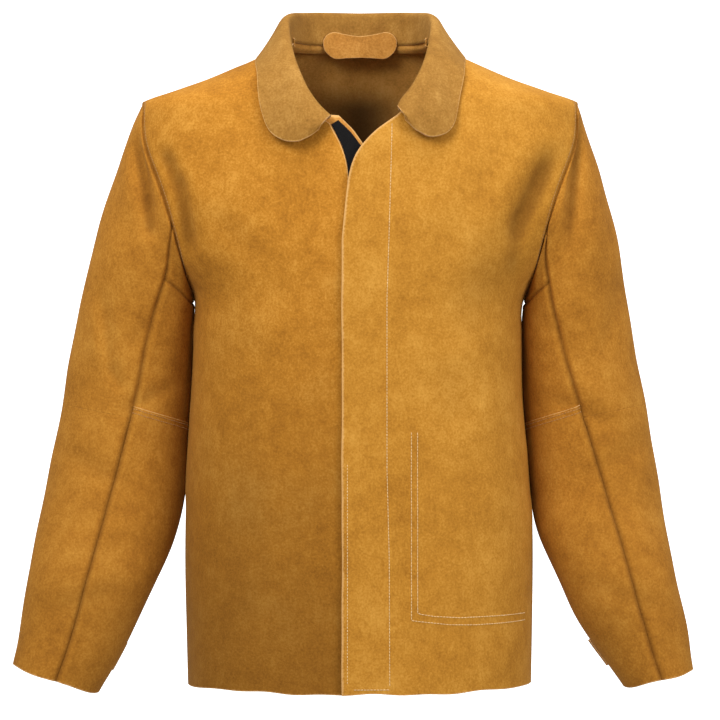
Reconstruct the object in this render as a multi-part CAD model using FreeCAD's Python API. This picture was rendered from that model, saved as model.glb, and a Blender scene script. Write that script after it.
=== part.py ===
import FreeCAD, Part
import math
import os

# Leather welding jacket, as it hangs from the loop inside its back neck. Millimetres, +Z up,
# front towards -Y, wearer's left towards +X. The shapes are worked out from the hem (z = 0) on the
# torso's own axis, and moved at the end so that the origin lies at the hanging loop.

Vec = FreeCAD.Vector

leather = 1.4            # thickness of the split leather
facingLeather = 1.2
seamGap = 0.8            # between two panels that are sewn edge to edge
squareness = 0.025       # 0 is an ellipse; more is a squarer oval

neckTop = 738            # height of the neck seam at the shoulders and the back
hemHeight = 0
yokeSeam = 598
shoulderTip = (249, 667)  # x, z
underarm = (193, 450)

flapEdge = -20           # free edge of the front overlap
flapStitch = 33.5        # row of stitches that the overlap turns on
rightFrontEdge = -14
flapLayers = 4.4         # how far the right front lies below the left one
flapLean = 0.022         # the front hangs out by this much per mm towards the hem
frontHemDepth = 152

# Height, half width of the torso.
widthAt = [(0, 196), (60, 197), (130, 198), (187, 197.5), (233, 195), (280, 192), (333, 189),
           (404, 187.5), (440, 188.5), (460, 197), (490, 222), (530, 244), (570, 256), (610, 261),
           (640, 258), (667, 249), (680, 214), (693, 177), (710, 137), (722, 111), (738, 79)]
# Height, depth of the front and of the back from the torso's axis.
frontAt = [(0, frontHemDepth), (450, frontHemDepth - 450 * flapLean), (520, 138), (560, 132.5),
           (613, 123), (640, 116), (667, 107), (700, 95), (738, 78)]
backAt = [(0, 141), (200, 136), (350, 134), (450, 138), (560, 135), (640, 119), (667, 110),
          (700, 98), (738, 80)]
rowHeights = [0, 60, 130, 187, 233, 280, 333, 370, 404, 430, 446, 460, 475, 490, 510, 530, 550,
              570, 590, 610, 625, 640, 655, 667, 673, 680, 693, 710, 722, 738]

# One sleeve, from armhole to cuff: outer edge x, z; inner edge x, z; half depth; middle y.
sleeveRings = [(249, 667, 193, 450, 76, 0), (270, 620, 194.5, 432, 79, 0),
               (299, 531, 195, 398, 79, 0), (318, 450, 196, 358, 77, 0),
               (332, 378, 199, 325, 74, 0), (343, 321, 203, 294, 71, -1),
               (357, 240, 208, 222, 68, -4), (369, 180, 219, 166, 64, -8),
               (380, 124, 240, 112, 58, -13), (387, 70, 265, 58, 52, -19),
               (390, 22, 299, -6, 46, -26)]
elbowRing = 5
cuffRing = 10
frontSeamAngle = [109, 112, 112, 108, 101, 98, 97, 96, 96, 95, 95]  # from the outer edge, degrees
armpitFront = 1.6        # ring at which the armpit piece ends on the sleeve's seams
armpitUnder = 1.0        # and under the arm

# Neckline, fold and free edge of one half of the collar, centre back to front: x, y, z.
neckLine = [(0, 78, 740), (56, 57, 740), (79, 0, 740.5), (83, -50, 719), (77, -80, 695),
            (66, -97, 672), (51, -107, 653), (34, -114, 640)]
foldLine = [(0, 84, 778), (58, 62, 776), (82, 2, 768), (78, -52, 732), (68, -89, 701),
            (58, -105, 677), (46, -113, 658), (32, -119, 642)]
leafLine = [(0, 112, 718), (93, 88, 713), (124, -2, 728), (120, -83, 694), (103, -114, 636),
            (85, -123, 617), (64, -127, 616), (42, -125, 631)]
foldRadius = 2.4
collarBulge = 11         # how far the leaf bows out between fold and edge

hemPocket = 81           # inner pocket: bottom, top, and its edge nearest the front opening
pocketTop = 292
pocketFrontEdge = 58
pocketSideEdge = 172

loopHalfWidth = 42.5     # bone-shaped hanging loop
loopBottom = 723
loopTop = 754
loopStandOff = 9
loopPlane = 69           # y of the loop's sewn ends, before the neck's curve

cuffTabRing = (9.15, 9.62)
cuffTabAngle = (192, 252)
studRadius = 7.5
postRadius = 5

origin = Vec(0, loopPlane - loopStandOff, 742)  # middle of the hanging loop


def curveThrough(table, s):
    """Smooth curve through a table of (s, value), by the tangents of each point's neighbours."""
    if s <= table[0][0]:
        return table[0][1]
    if s >= table[-1][0]:
        return table[-1][1]
    i = max(k for k in range(len(table) - 1) if table[k][0] <= s)
    (s0, v0), (s1, v1) = table[i], table[i + 1]
    before = table[max(i - 1, 0)]
    after = table[min(i + 2, len(table) - 1)]
    slope0 = (v1 - before[1]) / (s1 - before[0])
    slope1 = (after[1] - v0) / (after[0] - s0)
    f = (s - s0) / (s1 - s0)
    step = s1 - s0
    return ((2 * f ** 3 - 3 * f ** 2 + 1) * v0 + (f ** 3 - 2 * f ** 2 + f) * step * slope0
            + (3 * f ** 2 - 2 * f ** 3) * v1 + (f ** 3 - f ** 2) * step * slope1)


def mix(a, b, f):
    return a + (b - a) * f


def spread(low, high, count):
    return [mix(low, high, k / (count - 1)) for k in range(count)]


def torsoPoint(side, angle, z):
    """A point of the torso's outer surface; side is -1 in front and 1 behind."""
    width = curveThrough(widthAt, z)
    depth = curveThrough(frontAt if side < 0 else backAt, z)
    x = (math.sin(angle) + squareness * math.sin(3 * angle)) / (1 - squareness)
    y = (math.cos(angle) - squareness * math.cos(3 * angle)) / (1 - squareness)
    return Vec(width * x, side * depth * y, z)


def torsoAngle(x, z):
    """The angle at which the torso's surface has this x, found by halving."""
    low, high = -math.pi / 2, math.pi / 2
    for _ in range(40):
        middle = (low + high) / 2
        if torsoPoint(-1, middle, z).x < x:
            low = middle
        else:
            high = middle
    return low


def inset(surface, u, v, depth, flip=1):
    """A point of a two-parameter surface, moved inwards by depth along its normal."""
    step = 1e-3
    du = surface(u + step, v) - surface(u - step, v)
    dv = surface(u, v + step) - surface(u, v - step)
    normal = du.cross(dv)
    normal.normalize()
    return surface(u, v) - normal * (depth * flip)


def surfaceThrough(rows):
    surface = Part.BSplineSurface()
    surface.interpolate(rows)
    return surface


def surfaceOver(rows):
    """A smooth surface that has the points as its poles, so that it can't swing past them."""
    degree = 3
    ends = degree + 1
    mults = [[ends] + [1] * (len(line) - ends) + [ends] for line in (rows, rows[0])]
    knots = [list(range(len(m))) for m in mults]
    surface = Part.BSplineSurface()
    surface.buildFromPolesMultsKnots(rows, mults[0], mults[1], knots[0], knots[1], False, False,
                                     degree, degree)
    return surface


def ruledBetween(a, b):
    """The strip between two border curves, which may be folded back on themselves."""
    if a.getKnots() != b.getKnots():
        return Part.makeRuledSurface(a.toShape(), b.toShape())
    strip = Part.BSplineSurface()
    strip.buildFromPolesMultsKnots([a.getPoles(), b.getPoles()], [2, 2], a.getMultiplicities(),
                                   [0, 1], a.getKnots(), False, False, 1, a.Degree)
    return strip.toShape()


def patch(outerRows, innerRows, make=surfaceThrough):
    """A closed solid between two surfaces made from equal grids of points."""
    surfaces = [make(outerRows), make(innerRows)]
    faces = [surface.toShape() for surface in surfaces]
    for border in ("u0", "u1", "v0", "v1"):
        pair = []
        for surface in surfaces:
            (a0, a1, b0, b1) = surface.bounds()
            at = {"u0": a0, "u1": a1, "v0": b0, "v1": b1}[border]
            curve = surface.uIso(at) if border[0] == "u" else surface.vIso(at)
            pair.append(curve)
        faces.append(ruledBetween(pair[0], pair[1]))
    joined = Part.makeCompound(faces)
    joined.sewShape(0.01)
    solid = Part.Solid(joined.Shells[0] if joined.Shells else Part.Shell(joined.Faces))
    if solid.Volume < 0:
        solid.reverse()
    return solid


def torsoSkin(side, depth, thickness, angles, heights):
    """A stretch of the torso's skin, from depth inwards by thickness."""
    surface = lambda angle, z: torsoPoint(side, angle, z)
    safe = [min(max(z, 0.002), neckTop - 0.002) for z in heights]
    outer = [[inset(surface, a, z, depth, -side) for z in safe] for a in angles]
    inner = [[inset(surface, a, z, depth + thickness, -side) for z in safe] for a in angles]
    return patch(outer, inner)


def prism(points, y0, y1, curved=()):
    """An upright cutter: an outline of x, z pairs swept from y0 to y1; curved runs are splines."""
    at = [Vec(x, y0, z) for x, z in points]
    edges = []
    k = 0
    while k < len(at):
        run = next((r for r in curved if r[0] == k), None)
        end = run[1] if run else k + 1
        if run:
            spline = Part.BSplineCurve()
            spline.interpolate(at[k:end + 1])
            edges.append(spline.toShape())
        else:
            edges.append(Part.makeLine(at[k], at[end % len(at)]))
        k = end
    face = Part.Face(Part.Wire(edges))
    return face.extrude(Vec(0, y1 - y0, 0))


def slab(x0, x1, y0, y1, z0, z1):
    return Part.makeBox(x1 - x0, y1 - y0, z1 - z0, Vec(x0, y0, z0))


def largest(shape):
    """The one solid that a cut was meant to leave."""
    return max(shape.Solids, key=lambda s: s.Volume)


def armholeCutter(sign):
    """Everything outside the flat armhole, from under the arm to the shoulder tip."""
    lean = (shoulderTip[0] - underarm[0]) / (shoulderTip[1] - underarm[1])
    low, high = 446, 720
    line = lambda z: underarm[0] - 0.6 + (z - underarm[1]) * lean
    outline = [(sign * line(low), low), (sign * line(high), high), (sign * 340, high),
               (sign * 340, low)]
    return prism(outline, -220, 220)


def frontNeckCutter():
    """The neck opening in front, between the two front ends of the collar."""
    side = [(83, 738.5), (86, 722), (82, 700), (72, 675), (57, 651), (33.5, 635)]
    left = [(-x, z) for x, z in side]
    outline = side + left[::-1] + [(-83, 800), (83, 800)]
    return prism(outline, -220, 0, curved=((0, 5), (6, 11)))


def makeTorso():
    nodes = {}
    arms = [armholeCutter(1), armholeCutter(-1)]
    sideAngle = math.pi / 2
    wide = spread(-sideAngle, sideAngle, 25)
    lowBack = [z for z in rowHeights if z < yokeSeam] + [yokeSeam]
    highBack = [yokeSeam] + [z for z in rowHeights if z > yokeSeam]
    back = torsoSkin(1, 0, leather, wide, lowBack)
    yoke = torsoSkin(1, 0, leather, wide, highBack)
    aside = Vec(0, seamGap / 2, 0)
    nodes["back_panel"] = largest(back.cut(arms).translated(aside + Vec(0, 0, -seamGap)))
    nodes["back_yoke"] = largest(yoke.cut(arms).translated(aside))

    neck = frontNeckCutter()
    leftFront = torsoSkin(-1, 0, leather, spread(torsoAngle(20, 300), sideAngle, 15), rowHeights)
    centre = slab(-60, flapStitch + 1.2, -220, 10, -10, 800)
    nodes["front_left"] = largest(leftFront.cut([arms[0], neck, centre]).translated(-aside))
    rightAngles = spread(-sideAngle, torsoAngle(20, 300), 16)
    rightFront = torsoSkin(-1, 0, leather, rightAngles, rowHeights)
    beyond = slab(rightFrontEdge, 80, -220, 10, -10, 800)
    sunk = Vec(0, flapLayers, 0)
    behindSide = slab(-300, 0, -seamGap / 2, 60, -10, 800)
    rightFront = rightFront.translated(sunk).cut([arms[1], neck, beyond, behindSide])
    nodes["front_right"] = largest(rightFront)
    return nodes


def frontStrip(depth, thickness, x0, x1, outline=None, bottom=4, top=None):
    """A strip of the front opening, cut to x0..x1 and to an outline of its own."""
    angles = spread(torsoAngle(x0 - 25, 300), torsoAngle(x1 + 25, 300), 7)
    heights = [z for z in rowHeights if z < 660]
    skin = torsoSkin(-1, depth, thickness, angles, heights)
    shape = outline or [(x0, bottom), (x1, bottom), (x1, top), (x0, top)]
    curved = ((2, 8),) if outline else ()
    return largest(skin.common(prism(shape, -220, 0, curved)))


def makeOpening():
    edge = [(flapEdge, hemHeight + 0.2), (flapStitch, hemHeight + 0.2), (flapStitch, 639),
            (18, 628), (1, 614), (-8, 595), (-13, 574), (-17.5, 545), (flapEdge, 510)]
    facing = [(flapEdge + 1, 2), (flapStitch - 1, 2), (flapStitch - 1, 634), (18, 624),
              (2, 611), (-6.5, 593), (-11.5, 573), (-16, 545), (flapEdge + 1, 510)]
    return {
        "front_overlap": frontStrip(0, leather, flapEdge, flapStitch, edge),
        "overlap_facing": frontStrip(1.7, facingLeather, flapEdge, flapStitch, facing),
        "hook_tape": frontStrip(3.2, 0.8, -8, 20, bottom=14, top=592),
        "loop_tape": frontStrip(4.6, 0.9, -8, 20, bottom=14, top=618),
        "underlap": frontStrip(6.4, facingLeather, -34, 26, bottom=4, top=628),
    }


def makePocket():
    """The inner pocket's bag: a flat sheet behind the left front, open along its top."""
    def sheet(across, z):
        start = torsoPoint(-1, torsoAngle(pocketFrontEdge, z), z)
        end = torsoPoint(-1, torsoAngle(pocketSideEdge, z), z)
        flat = start + (end - start) * across
        return flat + Vec(0, leather + 2.5, 0)

    columns = spread(0, 1, 7)
    heights = [hemPocket, 120, 187, 233, pocketTop]
    outer = [[sheet(c, z) for z in heights] for c in columns]
    inner = [[sheet(c, z) + Vec(-0.5, 1.1, 0) for z in heights] for c in columns]
    return {"inner_pocket": patch(outer, inner)}


def makeNeckInside():
    nodes = {}
    angles = spread(-0.52, 0.52, 9)
    heights = [710, 716, 722, 728, 735]
    nodes["neck_facing"] = torsoSkin(1, 6.4, facingLeather, angles, heights)

    def loop(x, z):
        lift = loopStandOff * math.cos(math.pi / 2 * x / loopHalfWidth) ** 2
        return Vec(x, loopPlane - x * x / 190 - lift - 0.12 * (738 - z), z)

    columns = spread(-loopHalfWidth - 3, loopHalfWidth + 3, 13)
    heights = [loopBottom - 2, 738, loopTop + 2]
    outer = [[loop(x, z) for z in heights] for x in columns]
    inner = [[loop(x, z) - Vec(0, leather, 0) for z in heights] for x in columns]
    sheet = patch(outer, inner)
    half = [(0, loopTop - 5), (18, loopTop - 2.5), (30, loopTop), (38, loopTop - 3),
            (loopHalfWidth, loopTop - 12), (40, loopTop - 23), (30, loopBottom), (14, loopBottom + 1.5)]
    outline = half + [(-x, z) for x, z in half[:0:-1]]
    spline = Part.BSplineCurve()
    spline.interpolate([Vec(x, 0, z) for x, z in outline], PeriodicFlag=True)
    bone = Part.Face(Part.Wire([spline.toShape()])).extrude(Vec(0, 140, 0))
    nodes["hang_loop"] = largest(sheet.common(bone))
    return nodes


def lineThrough(points, t):
    """A smooth curve through hand-placed points; t runs from 0 to 1 over them."""
    last = len(points) - 1
    axes = [[(k / last, p[i]) for k, p in enumerate(points)] for i in range(3)]
    return Vec(*[curveThrough(axis, t) for axis in axes])


def collarPoint(t, v):
    """The collar's underside: up the stand for v in 0..1, over the fold, down the leaf to 2."""
    side = -1 if t < 0 else 1
    t = abs(t)
    low, fold, leaf = (lineThrough(line, t) for line in (neckLine, foldLine, leafLine))
    bulge = ((fold + leaf) * 0.5 - Vec(0, 0, 640)).normalize() * collarBulge
    middle = (fold + leaf) * 0.5 + bulge
    if v <= 1:
        point = low + (fold - low) * v
    else:
        f = v - 1
        point = fold * (1 - f) ** 2 + middle * (2 * f * (1 - f)) + leaf * f ** 2
    return Vec(side * point.x, point.y, point.z)


def makeCollar():
    """Two layers folded at the roll line; the top collar wraps round the under collar."""
    columns = spread(-0.985, 0.985, 33)
    stand = [0.04, 0.35, 0.7, 0.9]
    leaf = [1.12, 1.3, 1.5, 1.75, 2.0]
    nodes = {}
    for name, depth in (("collar_under", 0.0), ("collar_top", 2.1)):
        grids = []
        for d in (depth, depth + facingLeather):
            rows = []
            for t in columns:
                ahead, behind = collarPoint(t + 0.004, 0.5), collarPoint(t - 0.004, 0.5)
                along = (ahead - behind).normalize()
                low, high = collarPoint(t, 0.0), collarPoint(t, 1.0)
                size = min(1.0, (high - low).Length / 12)
                profile = [collarPoint(t, v) for v in stand + leaf]
                column = []
                for k, point in enumerate(profile):
                    before = profile[max(k - 1, 0)]
                    after = profile[min(k + 1, len(profile) - 1)]
                    normal = (after - before).cross(along)
                    normal.normalize()
                    gapped = d + foldRadius * (1 if k >= len(stand) else -0.2) * size
                    column.append(point - normal * gapped)
                rows.append(column)
            grids.append(rows)
        nodes[name] = patch(grids[1], grids[0], surfaceOver)
    return nodes


def ringValue(index, ring):
    return curveThrough([(k, r[index]) for k, r in enumerate(sleeveRings)], ring)


def sleevePoint(ring, degrees):
    """A point of the wearer's left sleeve; 0 degrees is its outer edge, 90 its front."""
    angle = math.radians(degrees)
    ring = min(max(ring, 0), cuffRing)
    ox, oz, ix, iz, depth, middle = (ringValue(k, ring) for k in range(6))
    across = (math.cos(angle) + 1) / 2
    x, z = mix(ix, ox, across), mix(iz, oz, across)
    y = middle - depth * math.sin(angle)
    if ring < 1.5:
        lean = (shoulderTip[0] - underarm[0]) / (shoulderTip[1] - underarm[1])
        atZ = mix(underarm[1], shoulderTip[1], across)
        onTorso = torsoPoint(-1, torsoAngle(underarm[0] + (atZ - underarm[1]) * lean, atZ), atZ)
        head = abs(onTorso.y) * (-1 if math.sin(angle) > 0 else 1)
        f = ring / 1.5
        y = mix(head, y, f * f * (3 - 2 * f))
    return Vec(x, y, z)


def seamAngle(ring):
    return curveThrough(list(enumerate(frontSeamAngle)), ring)


def sleevePatch(ringLow, ringHigh, fromBack, toFront, lift=0, thickness=leather, counts=(9, 13)):
    """A piece of sleeve between two ring limits and two angle limits, given as functions."""
    def surface(a, b):
        ring = mix(ringLow(b), ringHigh(b), a)
        return sleevePoint(ring, mix(fromBack(ring), toFront(ring), b))

    def grid(depth):
        rows = []
        for a in spread(0.002, 0.998, counts[0]):
            rows.append([inset(surface, a, b, depth, -1) for b in spread(0.002, 0.998, counts[1])])
        return rows

    return patch(grid(-lift), grid(-lift + thickness))


def disc(ring, degrees, low, high, radius):
    """A press-stud part: a disc standing on the sleeve, from low to high above its surface."""
    centre = sleevePoint(ring, degrees)
    along = sleevePoint(ring + 0.05, degrees) - sleevePoint(ring - 0.05, degrees)
    around = sleevePoint(ring, degrees + 1) - sleevePoint(ring, degrees - 1)
    normal = along.cross(around)
    normal.normalize()
    if normal.dot(centre - sleevePoint(ring, degrees + 180)) < 0:
        normal = normal * -1
    shape = Part.makeCylinder(radius, high - low, centre + normal * low, normal)
    rim = [e for e in shape.Edges if e.Length > radius]
    return shape.makeFillet(min(0.5, (high - low) / 3), [rim[0]])


def makeLeftSleeve():
    seam = 0.35              # half of the gap at a lengthwise seam, degrees
    ringGap = 0.008
    front = lambda ring: seamAngle(ring) - seam
    back = lambda ring: -seamAngle(ring) + seam
    underFront = lambda ring: 360 - seamAngle(ring) - seam
    underBack = lambda ring: seamAngle(ring) + seam
    fixed = lambda value: (lambda b: value)
    armpitEnd = lambda b: armpitUnder + (armpitFront - armpitUnder) * abs(2 * b - 1)
    start, elbow, cuff = 0.012, elbowRing, cuffRing
    nodes = {
        "top_sleeve_upper": sleevePatch(fixed(start), fixed(elbow - ringGap), back, front,
                                        counts=(13, 19)),
        "top_sleeve_lower": sleevePatch(fixed(elbow + ringGap), fixed(cuff), back, front,
                                        counts=(11, 19)),
        "armpit_piece": sleevePatch(fixed(start), lambda b: armpitEnd(b) - ringGap, underBack,
                                    underFront, counts=(6, 15)),
        "under_sleeve_upper": sleevePatch(lambda b: armpitEnd(b) + ringGap,
                                          fixed(elbow - ringGap), underBack, underFront,
                                          counts=(9, 15)),
        "under_sleeve_lower": sleevePatch(fixed(elbow + ringGap), fixed(cuff), underBack,
                                          underFront, counts=(11, 15)),
    }
    tabRing = sum(cuffTabRing) / 2
    nodes["cuff_tab"] = sleevePatch(fixed(cuffTabRing[0]), fixed(cuffTabRing[1]),
                                    lambda r: cuffTabAngle[0], lambda r: cuffTabAngle[1],
                                    lift=4.4, counts=(4, 7))
    studAngle = cuffTabAngle[1] - 10
    nodes["stud_post"] = disc(tabRing, studAngle, 0.9, 2.3, postRadius)
    nodes["stud_cap"] = disc(tabRing, studAngle, 4.9, 6.7, studRadius)
    return nodes


def makeJacket():
    nodes = {}
    for part in (makeTorso, makeOpening, makePocket, makeNeckInside, makeCollar):
        nodes.update(part())
    mirrorPlane = (Vec(0, 0, 0), Vec(1, 0, 0))
    sleeveShift = Vec(2.0, 0, -0.5)
    for name, shape in makeLeftSleeve().items():
        moved = shape.translated(sleeveShift)
        nodes[name + "_left"] = moved
        nodes[name + "_right"] = moved.mirror(*mirrorPlane)
    return nodes


os.makedirs("parts", exist_ok=True)
for name, shape in makeJacket().items():
    placed = shape.translated(origin * -1)
    placed.exportStep("parts/" + name + ".step")
    print(name, round(placed.Volume / 1000, 1), "cm3", placed.isValid(), len(placed.Solids))
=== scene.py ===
import bpy
import numpy as np
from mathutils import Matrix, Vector


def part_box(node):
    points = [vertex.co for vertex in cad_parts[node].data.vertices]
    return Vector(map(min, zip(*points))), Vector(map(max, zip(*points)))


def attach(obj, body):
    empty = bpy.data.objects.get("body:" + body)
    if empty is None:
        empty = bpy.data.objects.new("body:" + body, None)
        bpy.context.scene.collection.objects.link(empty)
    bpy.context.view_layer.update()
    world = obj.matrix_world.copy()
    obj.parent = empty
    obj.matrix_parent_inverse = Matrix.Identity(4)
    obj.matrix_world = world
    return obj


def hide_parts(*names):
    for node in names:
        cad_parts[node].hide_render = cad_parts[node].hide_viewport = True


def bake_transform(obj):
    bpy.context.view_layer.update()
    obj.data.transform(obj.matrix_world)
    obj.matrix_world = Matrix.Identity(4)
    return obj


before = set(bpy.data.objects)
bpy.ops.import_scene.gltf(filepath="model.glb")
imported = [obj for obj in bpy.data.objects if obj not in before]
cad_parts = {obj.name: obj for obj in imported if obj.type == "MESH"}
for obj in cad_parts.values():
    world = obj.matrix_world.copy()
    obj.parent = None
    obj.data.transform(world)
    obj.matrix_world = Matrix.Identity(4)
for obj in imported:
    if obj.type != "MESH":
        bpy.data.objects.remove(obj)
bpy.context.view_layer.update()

# The jacket is worked out in millimetres from its hem and the middle of its body, then moved to the
# frame, whose hem and side seam give the offset.
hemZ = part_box("front_left")[0].z
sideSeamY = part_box("back_panel")[0].y - 0.0004
leather = 1.4
seamDip = (2.6, 3.2)        # depth and reach of the valley beside a seam
facingLeather = 1.2

body = {
    "squareness": 0.025,
    "neckTop": 738.0,
    "yokeSeam": 598.0,
    "shoulderTip": (249.0, 667.0),
    "underarm": (193.0, 450.0),
    "armholeBulge": 8.0,
    "width": [(0, 196), (60, 197), (130, 198), (187, 197.5), (233, 195), (280, 192), (333, 189),
              (404, 187.5), (440, 188.5), (460, 197), (490, 222), (530, 244), (570, 256),
              (610, 261), (640, 258), (667, 249), (680, 214), (693, 177), (710, 137), (722, 111),
              (738, 79)],
    # how much further out each side seam hangs, by height
    "wider": {-1: [(0, 1.0), (130, 2.2), (199, 2.6), (222, 4.4), (245, 4.9), (268, 5.0),
                   (291, 4.9), (314, 5.0), (337, 4.3), (383, 3.3), (406, 3.3), (429, 1.8), (450, 0)],
              1: [(0, 0), (176, 0), (199, 0.4), (222, -0.8), (245, -1.2), (268, -1.2), (291, -2.2),
                  (337, -3.0), (383, -2.4), (429, -2.0), (450, 0)]},
    "front": [(0, 152), (450, 142.1), (520, 138), (560, 132.5), (613, 123), (640, 116),
              (667, 107), (700, 95), (738, 78)],
    "back": [(0, 141), (200, 136), (350, 134), (450, 138), (560, 135), (640, 119), (667, 110),
             (700, 98), (738, 80)],
    "rightSunk": 4.4,       # how far the right front lies below the left one
    "rightFrontEdge": -13.5,
    "flapEdge": -20.0,
    "flapStitch": 33.5,
    "step": 4.2,            # size of the panels' grid squares
}

# Folds as (start x, z), (end x, z), half width, depth; a depth above 0 stands out.
frontFolds = [
    ((-221, 604), (-203, 566), 8, -6.5), ((-203, 566), (-193, 500), 9, -7.0),
    ((-205, 590), (-170, 540), 16, 2.0), ((-158, 530), (-104, 480), 15, -2.2),
    ((-140, 455), (-95, 395), 22, 1.5),
    ((212, 596), (176, 520), 12, -9.5), ((180, 530), (170, 470), 9, -4.0),
    ((192, 622), (140, 520), 20, 3.5),
    ((150, 490), (120, 400), 26, -2.2), ((120, 610), (70, 520), 28, 1.5),
    ((-120, 330), (-140, 60), 34, -2.0), ((-60, 420), (-75, 120), 26, 1.6),
    ((95, 360), (110, 300), 26, -1.6), ((150, 300), (165, 40), 24, 2.0),
]
backFolds = [
    ((-150, 560), (-95, 380), 26, -4.0), ((150, 560), (100, 370), 28, -4.5),
    ((-30, 540), (-20, 300), 38, 2.5), ((-120, 330), (-110, 40), 30, -3.5),
    ((100, 300), (125, 30), 32, -3.5), ((0, 260), (10, 20), 36, 2.5),
    ((-60, 712), (60, 712), 9, -2.0),
]


def smoothstep(x):
    x = np.clip(x, 0, 1)
    return x * x * (3 - 2 * x)


def curveThrough(table, s):
    # smooth curve through (s, value) points; each point's slope is taken from its neighbours
    table = np.asarray(table, float)
    x, v = table[:, 0], table[:, 1]
    s = np.clip(s, x[0], x[-1])
    i = np.clip(np.searchsorted(x, s, "right") - 1, 0, len(x) - 2)
    before, after = np.maximum(i - 1, 0), np.minimum(i + 2, len(x) - 1)
    slope0 = (v[i + 1] - v[before]) / (x[i + 1] - x[before])
    slope1 = (v[after] - v[i]) / (x[after] - x[i])
    step = x[i + 1] - x[i]
    f = (s - x[i]) / step
    return ((2 * f ** 3 - 3 * f ** 2 + 1) * v[i] + (f ** 3 - 2 * f ** 2 + f) * step * slope0
            + (3 * f ** 2 - 2 * f ** 3) * v[i + 1] + (f ** 3 - f ** 2) * step * slope1)


def foldSum(folds, x, z):
    # each fold is its depth times a bell across its line, fading out at both ends
    total = np.zeros(np.broadcast(x, z).shape)
    for (x0, z0), (x1, z1), width, depth in folds:
        dx, dz = x1 - x0, z1 - z0
        length = np.hypot(dx, dz)
        along = ((x - x0) * dx + (z - z0) * dz) / length ** 2
        aside = ((x - x0) * dz - (z - z0) * dx) / length
        ends = smoothstep((along + 0.35) / 0.6) * smoothstep((1.35 - along) / 0.6)
        total = total + depth * np.exp(-(aside / width) ** 2) * ends
    return total


def ripple(x, z, seed):
    # slow unevenness of hanging leather: a few crossing sine waves, about 60 to 200 mm long
    rng = np.random.default_rng(seed)
    total = np.zeros(np.broadcast(x, z).shape)
    for wave in (190.0, 120.0, 85.0, 60.0):
        turn, phase = rng.uniform(0, np.pi), rng.uniform(0, 2 * np.pi)
        total = total + wave / 190 * np.sin((x * np.cos(turn) + z * np.sin(turn)) * 2 * np.pi
                                            / wave + phase)
    return total


def unit(v):
    return v / np.maximum(np.linalg.norm(v, axis=-1, keepdims=True), 1e-9)


def sideWidth(sign, z):
    return curveThrough(body["width"], z) + curveThrough(body["wider"][sign], z)


def torsoPoint(side, angle, z):
    # a slightly squared oval, wide and deep as the tables say at height z
    q = body["squareness"]
    across = (np.sin(angle) + q * np.sin(3 * angle)) / (1 - q)
    out = (np.cos(angle) - q * np.cos(3 * angle)) / (1 - q)
    width = np.where(across < 0, sideWidth(-1, z), sideWidth(1, z))
    depth = curveThrough(body["front" if side < 0 else "back"], z)
    return np.stack([width * across, side * depth * out, z + 0 * angle], -1)


def torsoAngle(x, z):
    # the angle at which the oval at height z has this x, found by halving
    x, z = np.broadcast_arrays(np.asarray(x, float), np.asarray(z, float))
    low, high = np.full(x.shape, -np.pi / 2), np.full(x.shape, np.pi / 2)
    for _ in range(34):
        middle = (low + high) / 2
        under = torsoPoint(-1, middle, z)[..., 0] < x
        low, high = np.where(under, middle, low), np.where(under, high, middle)
    return (low + high) / 2


def torsoNormal(side, angle, z):
    step = 1e-3
    across = torsoPoint(side, angle + step, z) - torsoPoint(side, angle - step, z)
    up = torsoPoint(side, angle, z + step * 50) - torsoPoint(side, angle, z - step * 50)
    normal = unit(np.cross(across, up)) * -side
    top = z > body["neckTop"] - 0.1
    return np.where(top[..., None], unit(np.array([0, side, 0.35])), normal)


armholeLean = ((body["shoulderTip"][0] - body["underarm"][0])
               / (body["shoulderTip"][1] - body["underarm"][1]))


def armholePoint(f):
    # the armhole seam from under the arm (f = 0) to the shoulder tip (f = 1), as x and z
    f = np.clip(f, 0, 1)
    (x0, z0), (x1, z1) = body["underarm"], body["shoulderTip"]
    z = z0 + (z1 - z0) * f
    x = x0 + (x1 - x0) * f + body["armholeBulge"] * np.sin(np.pi * f ** 2.6) ** 2
    return np.minimum(x, curveThrough(body["width"], z)), z


def armholeAt(z):
    x, z = armholePoint((z - body["underarm"][1]) / (body["shoulderTip"][1] - body["underarm"][1]))
    return float(x), float(z)


def torsoSkin(side, angle, z, lift=0):
    # the oval, moved out along its normal by its folds and by lift
    point = torsoPoint(side, angle, z)
    x = point[..., 0]
    calm = smoothstep((700 - z) / 60)
    if side < 0:
        out = foldSum(frontFolds, x, z) + 0.55 * ripple(x, z, 4)
        calm = calm * smoothstep((np.abs(x - 6) - 26) / 40)
    else:
        out = foldSum(backFolds, x, z) + 0.9 * ripple(x, z, 9)
    seamX, seamZ = armholePoint((z - body["underarm"][1])
                                / (body["shoulderTip"][1] - body["underarm"][1]))
    fromSeam = np.where(z > body["underarm"][1], seamX - np.abs(x), 20)
    edge = smoothstep((np.pi / 2 - np.abs(angle)) / 0.35) * smoothstep(fromSeam / 9)
    return point + torsoNormal(side, angle, z) * (out * calm * edge + lift)[..., None]


def toFrame(points):
    return np.asarray(points) / 1000 + np.array([0, sideSeamY, hemZ])


def meshFrom(name, points, faces, materials):
    mesh = bpy.data.meshes.new(name)
    mesh.from_pydata(np.asarray(points).tolist(), [], [list(face) for face in faces])
    mesh.polygons.foreach_set("use_smooth", np.ones(len(mesh.polygons), bool))
    for material in materials:
        mesh.materials.append(material)
    mesh.update()
    piece = bpy.data.objects.new(name, mesh)
    bpy.context.scene.collection.objects.link(piece)
    return piece


def gridFaces(rows, columns, flip=False):
    a = np.arange(rows * columns).reshape(rows, columns)
    quad = np.stack([a[:-1, :-1], a[:-1, 1:], a[1:, 1:], a[1:, :-1]], -1).reshape(-1, 4)
    return quad[:, ::-1] if flip else quad


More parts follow.
